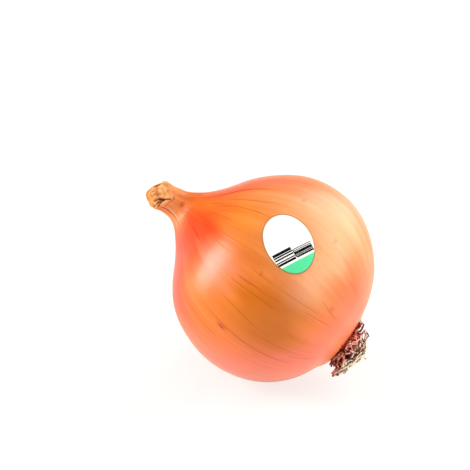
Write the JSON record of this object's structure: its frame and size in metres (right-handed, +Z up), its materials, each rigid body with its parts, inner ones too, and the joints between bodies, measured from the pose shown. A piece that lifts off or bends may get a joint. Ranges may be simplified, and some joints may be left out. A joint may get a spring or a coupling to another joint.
{
  "type": "onion",
  "caption": "Dry yellow onion lying on its side, with a pleated cut neck raised at one end, a tuft of dried roots at the other, and a small oval produce label.",
  "frame": {"origin": "centre of the small level spot that the onion rests on", "axes": "+Z up; the onion's axis lies in the XZ plane, with the neck towards -X, raised 31.4 degrees, and the roots towards +X; -Y faces the viewer and carries the label"},
  "size_m": [0.0954, 0.0857, 0.0835],
  "materials": {
    "outer_skin": "satin papery onion skin, golden orange with pink and cream patches and fine dark veins",
    "dry_sheath": "matt dried leaf sheath, tan",
    "dry_root": "matt dried roots, straw tips over a dark red-brown base",
    "label_face": "satin white film label with plain black bars and a green foot"
  },
  "bodies": {
    "root": {"bulb": "outer_skin", "neck_sheaths": "dry_sheath", "root_tuft": "dry_root", "label": "label_face"}
  },
  "joints": []
}
